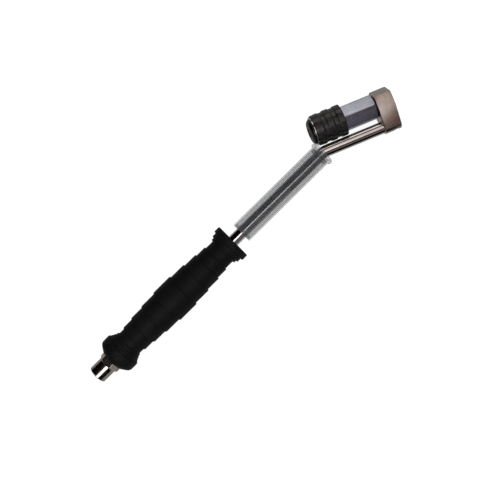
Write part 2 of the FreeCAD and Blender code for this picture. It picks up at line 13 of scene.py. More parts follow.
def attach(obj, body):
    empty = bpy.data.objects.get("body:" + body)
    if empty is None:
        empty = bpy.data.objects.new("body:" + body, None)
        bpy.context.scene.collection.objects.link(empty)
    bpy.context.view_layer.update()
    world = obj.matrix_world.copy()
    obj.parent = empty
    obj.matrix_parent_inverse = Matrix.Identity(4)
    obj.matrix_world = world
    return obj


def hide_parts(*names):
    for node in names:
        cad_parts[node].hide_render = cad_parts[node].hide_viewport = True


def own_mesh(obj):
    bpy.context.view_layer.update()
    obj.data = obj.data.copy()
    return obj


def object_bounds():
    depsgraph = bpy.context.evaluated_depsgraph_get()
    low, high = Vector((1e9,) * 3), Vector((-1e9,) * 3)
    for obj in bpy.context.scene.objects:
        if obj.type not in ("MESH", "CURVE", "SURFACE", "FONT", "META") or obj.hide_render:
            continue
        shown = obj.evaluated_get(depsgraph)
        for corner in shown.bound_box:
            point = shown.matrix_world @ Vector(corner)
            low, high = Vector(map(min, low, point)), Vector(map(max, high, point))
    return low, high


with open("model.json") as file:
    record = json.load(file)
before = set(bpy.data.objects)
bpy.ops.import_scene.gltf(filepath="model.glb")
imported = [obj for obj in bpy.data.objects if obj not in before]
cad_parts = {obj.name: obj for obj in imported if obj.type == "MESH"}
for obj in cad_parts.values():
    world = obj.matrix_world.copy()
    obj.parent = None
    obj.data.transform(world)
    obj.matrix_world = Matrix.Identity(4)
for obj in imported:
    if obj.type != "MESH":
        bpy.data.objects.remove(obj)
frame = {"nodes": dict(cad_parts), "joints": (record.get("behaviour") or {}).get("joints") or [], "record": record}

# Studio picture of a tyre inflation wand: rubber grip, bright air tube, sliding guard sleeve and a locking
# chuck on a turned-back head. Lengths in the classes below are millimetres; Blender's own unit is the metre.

CAD_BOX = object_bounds()
MM = 0.001
SAME_MM = 1e-6           # places nearer than this count as one
WELD_M = 1e-6            # points nearer than this, in metres, are joined
CORNER_SHARE = 0.45      # most of a side that one rounded corner may take
HEAD_DEG = -22.2         # the head's turn from the handle, for the studio's cards
VIEW_CENTRE = (0.1628, -0.0151, 0.0)   # the point that the camera looks down on
LOG = logging.getLogger("wand")

Profile = list[tuple[float, float]]
RadiusRule = Callable[[float, float, float], float]


# ------------------------------------------------------------------ places read from the frame

def mount_named(name: str) -> dict:
    """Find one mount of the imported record.

    Args:
        name: the mount's name.

    Returns:
        The mount's entry.
    """
    return next(mount for mount in frame["record"]["mounts"] if mount["name"] == name)


def node_span(node: str, direction: Vector, origin: Vector) -> tuple[float, float]:
    """Measure how far a CAD node reaches along a line.

    Args:
        node: the CAD node's name.
        direction: unit vector of the line.
        origin: the line's zero, in metres.

    Returns:
        The nearest and the farthest reach, in millimetres.
    """
    reaches = [(vertex.co - origin).dot(direction) / MM for vertex in frame["nodes"][node].data.vertices]
    return min(reaches), max(reaches)


@dataclass(frozen=True)
class Axis:
    """A turning axis: local x runs along it, and local z stays up."""

    origin: Vector
    direction: Vector

    def matrix(self) -> Matrix:
        """Give the transform from local millimetres to the row frame in metres."""
        x = self.direction.normalized()
        z = Vector((0.0, 0.0, 1.0))
        y = z.cross(x)
        turn = Matrix((x, y, z)).transposed().to_4x4()
        return Matrix.Translation(self.origin) @ turn @ Matrix.Scale(MM, 4)

    def span(self, node: str) -> tuple[float, float]:
        """Give a CAD node's reach along this axis, in millimetres."""
        return node_span(node, self.direction, self.origin)


def handle_axis() -> Axis:
    """Give the axis of the grip and stem, from the inlet's end face towards the head."""
    mount = mount_named("inlet_port")
    return Axis(Vector(mount["pos_m"]), -Vector(mount["axis"]))


def chuck_axis() -> Axis:
    """Give the chuck's axis, from the front of its nose towards the block."""
    mount = mount_named("valve_socket")
    inward = -Vector(mount["axis"]).normalized()
    point = Vector(mount["pos_m"])
    nose_front = node_span("nose_ring", inward, point)[0] * MM
    return Axis(point + inward * nose_front, inward)


# ------------------------------------------------------------------ meshes

def rounded_profile(corners: Sequence[tuple[float, float, float]], steps: int = 5) -> Profile:
    """Round the corners of a closed profile with true arcs.

    A corner takes at most CORNER_SHARE of either side, so a large radius beside a short side comes out
    smaller than it is given.

    Args:
        corners: (x, radius, corner radius) in millimetres, in order.
        steps: straight pieces in each rounded corner.

    Returns:
        The profile's points, in order.
    """
    points: Profile = []
    for index, (x, r, fillet) in enumerate(corners):
        corner = Vector((x, r))
        before = Vector(corners[index - 1][:2]) - corner
        after = Vector(corners[(index + 1) % len(corners)][:2]) - corner
        if fillet <= 0.0:
            points.append((x, r))
            continue
        half = before.angle(after) / 2.0
        reach = min(fillet / math.tan(half), CORNER_SHARE * before.length, CORNER_SHARE * after.length)
        radius = reach * math.tan(half)
        bisector = (before.normalized() + after.normalized()).normalized()
        centre = corner + bisector * (radius / math.sin(half))
        start = corner + before.normalized() * reach - centre
        end = corner + after.normalized() * reach - centre
        turn = start.angle_signed(end)
        for step in range(steps + 1):
            spoke = start.copy()
            spoke.rotate(Matrix.Rotation(-turn * step / steps, 2))
            points.append(tuple(centre + spoke))
    return points


def mark_sharp(mesh: bpy.types.Mesh, limit_deg: float = 32.0) -> None:
    """Shade a mesh smooth apart from its real edges.

    Args:
        mesh: the mesh to shade.
        limit_deg: faces that meet at more than this stay crisp.
    """
    mesh.shade_smooth()
    mesh.set_sharp_from_angle(angle=math.radians(limit_deg))


def new_piece(name: str, points: list[Vector], faces: list[tuple[int, ...]],
              place: Matrix) -> bpy.types.Object:
    """Make one object from points and faces.

    Args:
        name: the piece's name.
        points: the points, in local millimetres.
        faces: point numbers of each face.
        place: transform from local millimetres to the row frame.

    Returns:
        The new object, linked to the scene.
    """
    mesh = bpy.data.meshes.new(name)
    mesh.from_pydata([place @ point for point in points], [], faces)
    mesh.validate()
    mark_sharp(mesh)
    piece = bpy.data.objects.new(name, mesh)
    bpy.context.scene.collection.objects.link(piece)
    return piece


def round_rule(x: float, r: float, angle: float) -> float:
    """Leave a ring round: its radius is the profile's own."""
    return r


def turned_piece(name: str, axis: Axis, profile: Profile, rule: RadiusRule = round_rule,
                 angles: Sequence[float] | None = None, segments: int = 96) -> bpy.types.Object:
    """Turn a closed profile about an axis into one closed, hollow piece.

    Args:
        name: the piece's name.
        axis: the axis to turn about.
        profile: closed (x, radius) loop in millimetres, outside first, then back through the bore.
        rule: gives the radius at a place and angle, for hexagons and threads.
        angles: the angles of the rings' points; even when left out.
        segments: number of even angles.

    Returns:
        The new object.
    """
    turns = list(angles) if angles else [math.tau * step / segments for step in range(segments)]
    points = []
    for x, r in profile:
        for turn in turns:
            reach = rule(x, r, turn)
            points.append(Vector((x, reach * math.cos(turn), reach * math.sin(turn))))
    faces = []
    count = len(turns)
    rings = len(profile)
    for ring in range(rings):
        nearer = ring * count
        farther = ((ring + 1) % rings) * count
        for step in range(count):
            beside = (step + 1) % count
            faces.append((nearer + step, nearer + beside, farther + beside, farther + step))
    piece = new_piece(name, points, faces, axis.matrix())
    make_outward(piece.data)
    return piece


def softened_piece(name: str, node: str, edge_mm: float, segments: int = 3,
                   limit_deg: float = 28.0, flat_deg: float = 0.5,
                   crisp_deg: float = 40.0) -> bpy.types.Object:
    """Copy a machined CAD node with its sharp edges broken, as a deburred part has them.

    The bevel is clamped by the node's shortest edges. Short edges round a bore can hold it to nothing, as
    they do on the block and the barrel, which come out as the CAD has them.

    Args:
        name: the new piece's name.
        node: the CAD node it copies.
        edge_mm: how far each edge is taken back at most.
        segments: faces across each edge.
        limit_deg: edges sharper than this are broken.
        flat_deg: faces that meet at less than this are joined first.
        crisp_deg: faces that still meet at more than this stay crisp.

    Returns:
        The new object.
    """
    work = bmesh.new()
    work.from_mesh(frame["nodes"][node].data)
    bmesh.ops.remove_doubles(work, verts=work.verts, dist=WELD_M)
    bmesh.ops.dissolve_limit(work, angle_limit=math.radians(flat_deg), verts=work.verts,
                             edges=work.edges)
    sharp = [edge for edge in work.edges
             if edge.is_manifold and edge.calc_face_angle(0.0) > math.radians(limit_deg)]
    bmesh.ops.bevel(work, geom=sharp, offset=edge_mm * MM, segments=segments, profile=0.5,
                    affect="EDGES", clamp_overlap=True)
    mesh = bpy.data.meshes.new(name)
    work.to_mesh(mesh)
    work.free()
    mark_sharp(mesh, crisp_deg)
    piece = bpy.data.objects.new(name, mesh)
    bpy.context.scene.collection.objects.link(piece)
    return piece


def make_outward(mesh: bpy.types.Mesh) -> None:
    """Turn a closed mesh's faces outwards."""
    mesh.calc_loop_triangles()
    volume = 0.0
    for triangle in mesh.loop_triangles:
        a, b, c = (mesh.vertices[index].co for index in triangle.vertices)
        volume += a.dot(b.cross(c))
    if volume < 0.0:
        mesh.flip_normals()


@dataclass(frozen=True)
class Hexagon:
    """Cross-section of a hexagon bar with slightly rounded corners."""

    across_flats: float
    corner_r: float
    phase_deg: float = 90.0
    arc_steps: int = 4
    under_chamfer: float = 0.5

    def outline(self) -> list[tuple[float, float]]:
        """Give the section's points as (angle, radius)."""
        apothem = self.across_flats / 2.0
        tip_r = apothem / math.cos(math.radians(30.0))
        centre_r = tip_r - self.corner_r / math.cos(math.radians(30.0))
        result = []
        for corner in range(6):
            tip = math.radians(self.phase_deg + 60.0 * corner)
            centre = Vector((math.cos(tip), math.sin(tip))) * centre_r
            for step in range(self.arc_steps + 1):
                turn = tip + math.radians(-30.0 + 60.0 * step / self.arc_steps)
                point = centre + Vector((math.cos(turn), math.sin(turn))) * self.corner_r
                result.append((math.atan2(point.y, point.x) % math.tau, point.length))
            for share in (0.25, 0.5, 0.75):
                flat = tip + math.radians(30.0)
                side = math.radians(60.0) * (share - 0.5)
                result.append(((flat + side) % math.tau, apothem / math.cos(side)))
        return sorted(result)

    def rule(self, start: float, end: float, chamfer_r: float, slope: float) -> RadiusRule:
        """Give the radius rule of a bar that is hexagonal between two places, with turned end chamfers.

        Args:
            start: where the hexagon starts, in millimetres along the axis.
            end: where it ends.
            chamfer_r: the chamfer cone's radius at either end.
            slope: the cone's rise in radius for each millimetre.

        Returns:
            A rule for turned_piece.
        """
        radii = {round(angle, 6): radius for angle, radius in self.outline()}

        def radius_at(x: float, r: float, angle: float) -> float:
            """Give the bar's radius at one place and angle."""
            if r < chamfer_r - self.under_chamfer or not start - SAME_MM <= x <= end + SAME_MM:
                return r
            cone = chamfer_r + slope * min(x - start, end - x)
            return min(radii[round(angle, 6)], cone)

        return radius_at


def coil_piece(name: str, axis: Axis, start: float, end: float, mean_r: float, wire_r: float,
               turns: int) -> bpy.types.Object:
    """Wind a compression spring with closed ends.

    With those two turns, both springs here have one turn more than the CAD's plain coils.

    Args:
        name: the piece's name.
        axis: the spring's axis.
        start: first end, in millimetres along the axis.
        end: other end.
        mean_r: radius of the coil's centre line.
        wire_r: radius of the wire.
        turns: working turns, without the closed one at each end.

    Returns:
        The new object.
    """
    per_turn = 40
    around = 10
    total = turns + 2
    closed_ends = 4.0 * wire_r
    free = (end - start) - closed_ends - 2.0 * wire_r
    points = []
    for step in range(total * per_turn + 1):
        turn = step / per_turn
        closed = 2.0 * wire_r * (min(turn, 1.0) + max(turn - turns - 1.0, 0.0))
        x = start + wire_r + closed + free * min(max(turn - 1.0, 0.0), turns) / turns
        angle = math.tau * turn
        spoke = Vector((0.0, math.cos(angle), math.sin(angle)))
        for corner in range(around):
            around_wire = math.tau * corner / around
            reach = mean_r + wire_r * math.cos(around_wire)
            points.append(spoke * reach + Vector((x + wire_r * math.sin(around_wire), 0.0, 0.0)))
    faces = []
    for step in range(total * per_turn):
        for corner in range(around):
            beside = (corner + 1) % around
            low = step * around
            faces.append((low + corner, low + beside, low + around + beside, low + around + corner))
    last = total * per_turn * around
    faces.append(tuple(range(around)))
    faces.append(tuple(range(last + around - 1, last - 1, -1)))
    piece = new_piece(name, points, faces, axis.matrix())
    make_outward(piece.data)
    return piece


# ------------------------------------------------------------------ finishes

def linear(hex_colour: str) -> tuple[float, float, float, float]:
    """Turn an sRGB hex colour into Blender's linear colour.

    Args:
        hex_colour: such as "#1a1a1c".

    Returns:
        Red, green, blue and alpha.
    """
    values = [int(hex_colour[place:place + 2], 16) / 255.0 for place in (1, 3, 5)]
    channels = [v / 12.92 if v <= 0.04045 else ((v + 0.055) / 1.055) ** 2.4 for v in values]
    return channels[0], channels[1], channels[2], 1.0


def add_node(tree: bpy.types.NodeTree, kind: str, settings: dict | None = None,
             inputs: dict | None = None) -> bpy.types.Node:
    """Add one shader node with its settings and links.

    Args:
        tree: the tree it goes in.
        kind: the node's Blender type.
        settings: values of the node itself.
        inputs: a value, or another node's output socket, for each input.

    Returns:
        The new node.
    """
    node = tree.nodes.new(kind)
    for name, value in (settings or {}).items():
        setattr(node, name, value)
    for name, value in (inputs or {}).items():
        if isinstance(value, bpy.types.NodeSocket):
            tree.links.new(value, node.inputs[name])
        else:
            node.inputs[name].default_value = value
    return node


class Grain(Enum):
    """Which way a finish's marks run."""

    ALONG_HANDLE = "marks along the handle"
    ALONG_HEAD = "marks along the head"
    ROUND_HANDLE = "turning marks round the handle"
    ROUND_HEAD = "turning marks round the chuck"
    NONE = "no direction"


MARK_STRETCH = 40.0                  # marks are this many times longer than they are apart
MARK_DETAIL, MARK_ROUGHNESS = 3.0, 0.6
MARK_RANGE = (0.3, 0.7)              # the noise values between which the roughness swings
PATCH_DETAIL = 4.0
PATCH_RANGE = (0.38, 0.68)           # the noise values between which one colour turns to the other
LEAST_ROUGHNESS = 0.02
MIX_FIRST, MIX_SECOND, MIX_RESULT = 6, 7, 2   # a Mix node's colour sockets, which share their names
WEAR_AND_HIGHLIGHT_RANGE = (0.995, 0.90)           # how far a rounded edge's normal leans before it is lightened: worn plating and a painted edge highlight
WEAR_AND_HIGHLIGHT_SHARE = 0.8
WEAR_AND_HIGHLIGHT_SAMPLES = 4
RIM_SHADE_RANGE = (0.6, 1.0)               # where a clear wall is seen on edge, drawn more opaque there: painted shade for the dark lines that refraction gives its rims
RIM_SHADE_ALPHA = 0.8


@dataclass(frozen=True)
class Finish:
    """A real material with the surface its making left on it."""

    name: str
    colour: str
    mottle: str
    metallic: float
    roughness: float
    roughness_swing: float
    grain: Grain
    grain_mm: float
    grain_depth_mm: float
    mottle_mm: float
    ior: float = 1.5
    specular: float = 0.5
    # edge and edge_mm: colour and reach of the lighter sharp edges, partly wear and partly a painted edge
    # highlight
    edge: str | None = None
    edge_mm: float = 0.25
    alpha: float = 1.0

    def head_turn(self) -> float:
        """Give the head's angle from the handle, in radians, from the collar's joint."""
        direction = Vector(next(j for j in frame["joints"] if j["name"] == "collar_slide")["axis"])
        return math.atan2(direction.y, direction.x)

    def grain_scale(self) -> tuple[float, float, float]:
        """Give the stretch of the marks' pattern: marks are long one way and grain_mm apart the others."""
        fine = 1.0 / (self.grain_mm * MM)
        long = fine / MARK_STRETCH
        if self.grain in (Grain.ALONG_HANDLE, Grain.ALONG_HEAD):
            return long, fine, fine
        if self.grain in (Grain.ROUND_HANDLE, Grain.ROUND_HEAD):
            return fine, long, long
        return fine, fine, fine

    def build(self) -> bpy.types.Material:
        """Make the material's nodes.

        Returns:
            The material, with one Principled shader.
        """
        material = bpy.data.materials.new(self.name)
        material.use_nodes = True
        tree = material.node_tree
        shader = tree.nodes["Principled BSDF"]
        place = add_node(tree, "ShaderNodeTexCoord")
        head = self.grain in (Grain.ALONG_HEAD, Grain.ROUND_HEAD)
        turn = (0.0, 0.0, -self.head_turn() if head else 0.0)
        turned = add_node(tree, "ShaderNodeMapping", inputs={
            "Vector": place.outputs["Object"], "Rotation": turn})
        stretched = add_node(tree, "ShaderNodeMapping", inputs={
            "Vector": turned.outputs["Vector"], "Scale": self.grain_scale()})
        marks = add_node(tree, "ShaderNodeTexNoise", inputs={
            "Vector": stretched.outputs["Vector"], "Scale": 1.0, "Detail": MARK_DETAIL,
            "Roughness": MARK_ROUGHNESS})
        patches = add_node(tree, "ShaderNodeTexNoise", inputs={
            "Vector": place.outputs["Object"], "Scale": 1.0 / (self.mottle_mm * MM),
            "Detail": PATCH_DETAIL})
        patch_share = add_node(tree, "ShaderNodeMapRange", inputs={
            "Value": patches.outputs["Fac"], "From Min": PATCH_RANGE[0], "From Max": PATCH_RANGE[1]})
        colour = add_node(tree, "ShaderNodeMix", {"data_type": "RGBA"}, {
            "Factor": patch_share.outputs["Result"]})
        colour.inputs[MIX_FIRST].default_value = linear(self.colour)
        colour.inputs[MIX_SECOND].default_value = linear(self.mottle)
        surface = colour.outputs[MIX_RESULT]
        rough = add_node(tree, "ShaderNodeMapRange", inputs={
            "Value": marks.outputs["Fac"], "From Min": MARK_RANGE[0], "From Max": MARK_RANGE[1],
            "To Min": max(self.roughness - self.roughness_swing, LEAST_ROUGHNESS),
            "To Max": self.roughness + self.roughness_swing})
        # Sharp edges get a lighter colour: partly wear, partly a painted highlight along each edge.
        if self.edge:
            surface = self.worn_and_highlit_edge(tree, surface, patches.outputs["Fac"])
        if self.grain_depth_mm > 0.0:
            bump = add_node(tree, "ShaderNodeBump", inputs={
                "Height": marks.outputs["Fac"], "Strength": 1.0, "Distance": self.grain_depth_mm * MM})
            tree.links.new(bump.outputs["Normal"], shader.inputs["Normal"])
        tree.links.new(surface, shader.inputs["Base Color"])
        tree.links.new(rough.outputs["Result"], shader.inputs["Roughness"])
        shader.inputs["Metallic"].default_value = self.metallic
        if self.metallic < 1.0:
            shader.inputs["IOR"].default_value = self.ior
            shader.inputs["Specular IOR Level"].default_value = self.specular
        # Walls seen on edge are drawn more opaque in the dark tint: painted shade for the dark rims that
        # refraction makes.
        if self.alpha < 1.0:
            facing = add_node(tree, "ShaderNodeLayerWeight", inputs={"Blend": 0.5})
            share = add_node(tree, "ShaderNodeMapRange", inputs={
                "Value": facing.outputs["Facing"], "From Min": RIM_SHADE_RANGE[0], "From Max": RIM_SHADE_RANGE[1],
                "To Min": self.alpha, "To Max": RIM_SHADE_ALPHA})
            tree.links.new(share.outputs["Result"], shader.inputs["Alpha"])
        return material

    def worn_and_highlit_edge(self, tree: bpy.types.NodeTree, surface: bpy.types.NodeSocket,
                  patches: bpy.types.NodeSocket) -> bpy.types.NodeSocket:
        """Lighten the sharp edges: partly plating that handling has rubbed, partly a painted highlight along each
        edge.

        Args:
            tree: the material's node tree.
            surface: colour away from the edges.
            patches: pattern that breaks up the wear and the painted edge highlight.

        Returns:
            The mixed colour.
        """
        bevel = add_node(tree, "ShaderNodeBevel", {"samples": WEAR_AND_HIGHLIGHT_SAMPLES}, {
            "Radius": self.edge_mm * MM})
        flat = add_node(tree, "ShaderNodeNewGeometry")
        facing = add_node(tree, "ShaderNodeVectorMath", {"operation": "DOT_PRODUCT"})
        tree.links.new(bevel.outputs["Normal"], facing.inputs[0])
        tree.links.new(flat.outputs["Normal"], facing.inputs[1])
        wear_and_highlight_share = add_node(tree, "ShaderNodeMapRange", inputs={
            "Value": facing.outputs["Value"], "From Min": WEAR_AND_HIGHLIGHT_RANGE[0], "From Max": WEAR_AND_HIGHLIGHT_RANGE[1],
            "To Max": WEAR_AND_HIGHLIGHT_SHARE})
        broken = add_node(tree, "ShaderNodeMath", {"operation": "MULTIPLY"})
        tree.links.new(wear_and_highlight_share.outputs["Result"], broken.inputs[0])
        tree.links.new(patches, broken.inputs[1])
        mixed = add_node(tree, "ShaderNodeMix", {"data_type": "RGBA"}, {"Factor": broken.outputs["Value"]})
        tree.links.new(surface, mixed.inputs[MIX_FIRST])
        mixed.inputs[MIX_SECOND].default_value = linear(self.edge)
        return mixed.outputs[MIX_RESULT]


# Finishes given an edge colour have lighter sharp edges: partly wear, partly a painted edge highlight.
# Nickel plate over turned brass: warm and bright, with faint turning rings.
NICKEL_ROUND = Finish("nickel_plate_on_turned_brass", "#cfc6be", "#c0b5ac", 1.0, 0.2, 0.05,
                      Grain.ROUND_HANDLE, 0.25, 0.002, 6.0, edge="#e6dccf")
# Chrome plate over drawn steel tube: the hardest, clearest mirror here, faintly marked lengthwise.
CHROME_TUBE = Finish("chrome_plate_on_drawn_steel", "#d9d7d6", "#cfcbc9", 1.0, 0.07, 0.03,
                     Grain.ALONG_HEAD, 0.3, 0.001, 10.0)
# Moulded polycarbonate with a grey tint: a thin clear wall, so the bright tube shows inside unbent. Its rims are
# drawn denser, a painted shade for the dark lines that refraction gives them.
CLEAR_PLASTIC = Finish("moulded_clear_polycarbonate", "#54575b", "#4b4e52", 0.0, 0.06, 0.03,
                       Grain.ALONG_HANDLE, 1.2, 0.0, 12.0, ior=1.585, alpha=0.27)
# Nickel plate over a linished brass block: greyish, warm, with fine belt marks that blur its reflections.
NICKEL_BLOCK = Finish("nickel_plate_on_linished_brass", "#cabfb9", "#c0b6b0", 1.0, 0.3, 0.04,
                      Grain.ROUND_HEAD, 0.5, 0.002, 5.0, edge="#e8ddd2", edge_mm=0.4)
# Drawn steel hexagon bar with a cool zinc passivation: satin, marked along its length.
DRAWN_HEX = Finish("blue_zinc_on_drawn_steel_bar", "#a9afc2", "#9ba2b8", 1.0, 0.28, 0.05,
                   Grain.ALONG_HEAD, 0.4, 0.003, 7.0, edge="#dfe4ee", edge_mm=0.3)
# Turned and ground steel of the locking sleeve and balls: bright and clean.
GROUND_STEEL = Finish("turned_and_ground_steel", "#d4d4d6", "#cacacd", 1.0, 0.12, 0.03,
                      Grain.ROUND_HEAD, 0.25, 0.001, 8.0)
# Black-oxide steel nose, buffed: dark, with a clear gloss.
BLACK_STEEL = Finish("buffed_black_oxide_steel", "#565655", "#454645", 1.0, 0.3, 0.08,
                     Grain.ROUND_HEAD, 0.3, 0.002, 5.0, edge="#8f8d8a")
# Moulded rubber of the grip: nearly black, dull, with the mould's fine spark-eroded grain.
GRIP_RUBBER = Finish("moulded_black_rubber", "#070709", "#0b0b0e", 0.0, 0.62, 0.08,
                     Grain.NONE, 0.35, 0.03, 18.0, ior=1.52, specular=0.18)
# Moulded glass-filled nylon of the collar: black, slightly glossier than the rubber.
COLLAR_NYLON = Finish("moulded_black_nylon", "#0d0d0e", "#232221", 0.0, 0.32, 0.1,
                      Grain.NONE, 0.4, 0.02, 2.2, ior=1.53, specular=0.5)
# Nitrile rubber of the washers and rings: black and smooth.
SEAL_RUBBER = Finish("moulded_nitrile_rubber", "#131314", "#1a1a1b", 0.0, 0.5, 0.05,
                     Grain.NONE, 0.3, 0.004, 4.0, ior=1.52, specular=0.4)
# Drawn spring wire: grey, smooth, faintly oily.
SPRING_WIRE = Finish("drawn_spring_wire", "#8f9093", "#7f8083", 1.0, 0.25, 0.05,
                     Grain.NONE, 0.3, 0.001, 3.0)
# Turned brass of the chuck's inner parts: yellow, with tool marks.
TURNED_BRASS = Finish("turned_brass", "#c9a35c", "#bb9550", 1.0, 0.22, 0.05,
                      Grain.ROUND_HEAD, 0.25, 0.002, 4.0)
# Nylon liner under the grip, plain black.
LINER_NYLON = Finish("extruded_black_nylon", "#161617", "#1d1d1e", 0.0, 0.45, 0.05,
                     Grain.ALONG_HANDLE, 0.4, 0.004, 10.0, ior=1.53)


class Wardrobe:
    """Builds each finish once and puts it on pieces and CAD nodes."""

    def __init__(self) -> None:
        """Start with no material made."""
        self.made: dict[str, bpy.types.Material] = {}

    def dress(self, piece: bpy.types.Object, finish: Finish) -> None:
        """Give a piece one finish.

        Args:
            piece: the object to dress.
            finish: its finish.
        """
        if finish.name not in self.made:
            self.made[finish.name] = finish.build()
        piece.data.materials.clear()
        piece.data.materials.append(self.made[finish.name])


WARDROBE = Wardrobe()


def dress_nodes(finish: Finish, *nodes: str) -> None:
    """Give CAD nodes that keep their own shape a finish.

    Args:
        finish: the finish they share.
        nodes: the CAD nodes' names.
    """
    for node in nodes:
        WARDROBE.dress(frame["nodes"][node], finish)
        LOG.info("dressed CAD node %s in %s", node, finish.name)


def fit_piece(piece: bpy.types.Object, body: str, node: str, finish: Finish) -> None:
    """Put a new piece in the place of a CAD node.

    Args:
        piece: the new piece.
        body: the body it moves with.
        node: the CAD node it stands for.
        finish: its finish.
    """
    WARDROBE.dress(piece, finish)
    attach(piece, body)
    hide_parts(node)
    LOG.info("built %s for %s: %d faces", piece.name, node, len(piece.data.polygons))


# ------------------------------------------------------------------ sub-assemblies

@dataclass
class Inlet:
    """Plated brass inlet: round collar, hexagon, and a pipe thread inside its mouth.

    round_length and hex_end are not the CAD's, which are 11.8 and 18.0: the hexagon's last 2 mm lie inside
    the grip's rubber. The mouth's edge comes out less rounded than mouth_edge_r, as its end face is narrow.
    """

    axis: Axis
    round_r: float = 8.0
    mouth_edge_r: float = 3.0
    round_length: float = 12.5
    hexagon: Hexagon = field(default_factory=lambda: Hexagon(17.0, 0.5, 50.0))
    hex_end: float = 20.0
    chamfer_r: float = 8.35
    chamfer_slope: float = 1.3
    port_r: float = 5.72
    port_depth: float = 12.0
    countersink: float = 0.7
    chamfer_length: float = 2.0
    chamfer_stations: int = 8
    blank_rise: float = 4.0
    far_chamfer: float = 10.0
    hex_margin: float = 0.1
    thread_stations: int = 10
    thread_pitch: float = 1.337
    thread_depth: float = 0.7
    thread_end: float = 10.6
    passage_r: float = 3.0
    socket_r: float = 5.0
    socket_start: float = 24.0
    spigot_r: float = 7.5

    def profile(self) -> Profile:
        """Give the outside from the mouth to the spigot, and back through the bore."""
        end = self.axis.span("inlet_fitting")[1]
        outside = rounded_profile([
            (0.0, self.port_r + self.countersink, 0.0),
            (0.0, self.round_r, self.mouth_edge_r),
            (self.round_length, self.round_r, 0.0),
            (self.round_length, self.chamfer_r, 0.0),
        ])
        blank_r = self.round_r + self.blank_rise
        for step in range(1, self.chamfer_stations + 1):
            along = self.chamfer_length * step / self.chamfer_stations
            outside.append((self.round_length + along, blank_r))
        outside += [(self.hex_end, blank_r), (self.hex_end, self.spigot_r), (end, self.spigot_r)]
        inside = [(end, self.socket_r), (self.socket_start, self.socket_r)]
        inside += [(self.socket_start, self.passage_r), (self.port_depth, self.passage_r)]
        inside.append((self.port_depth, self.port_r))
        stations = int(self.thread_end / self.thread_pitch * self.thread_stations)
        length = self.thread_end - self.countersink
        for step in range(stations, -1, -1):
            inside.append((self.countersink + length * step / stations, self.port_r))
        return outside + inside

    def radius(self, x: float, r: float, angle: float) -> float:
        """Give the radius at a place: hexagon outside, thread inside.

        Args:
            x: place along the axis, in millimetres.
            r: the profile's radius there.
            angle: angle round the axis.

        Returns:
            The radius, in millimetres.
        """
        if r > self.round_r + self.hex_margin:
            rule = self.hexagon.rule(self.round_length, self.hex_end + self.far_chamfer,
                                     self.chamfer_r, self.chamfer_slope)
            return rule(x, r, angle)
        if abs(r - self.port_r) < SAME_MM and x < self.thread_end:
            phase = (x / self.thread_pitch - angle / math.tau) % 1.0
            ridge = 1.0 - abs(2.0 * phase - 1.0)
            fade = min(1.0, (self.thread_end - x) / self.thread_pitch, x / self.countersink)
            return r + self.thread_depth * ridge * fade
        return r

    def build(self) -> None:
        """Make the inlet and put it in place."""
        angles = [angle for angle, radius in self.hexagon.outline()]
        piece = turned_piece("inlet_body", self.axis, self.profile(), self.radius, angles)
        fit_piece(piece, "wand", "inlet_fitting", NICKEL_ROUND)


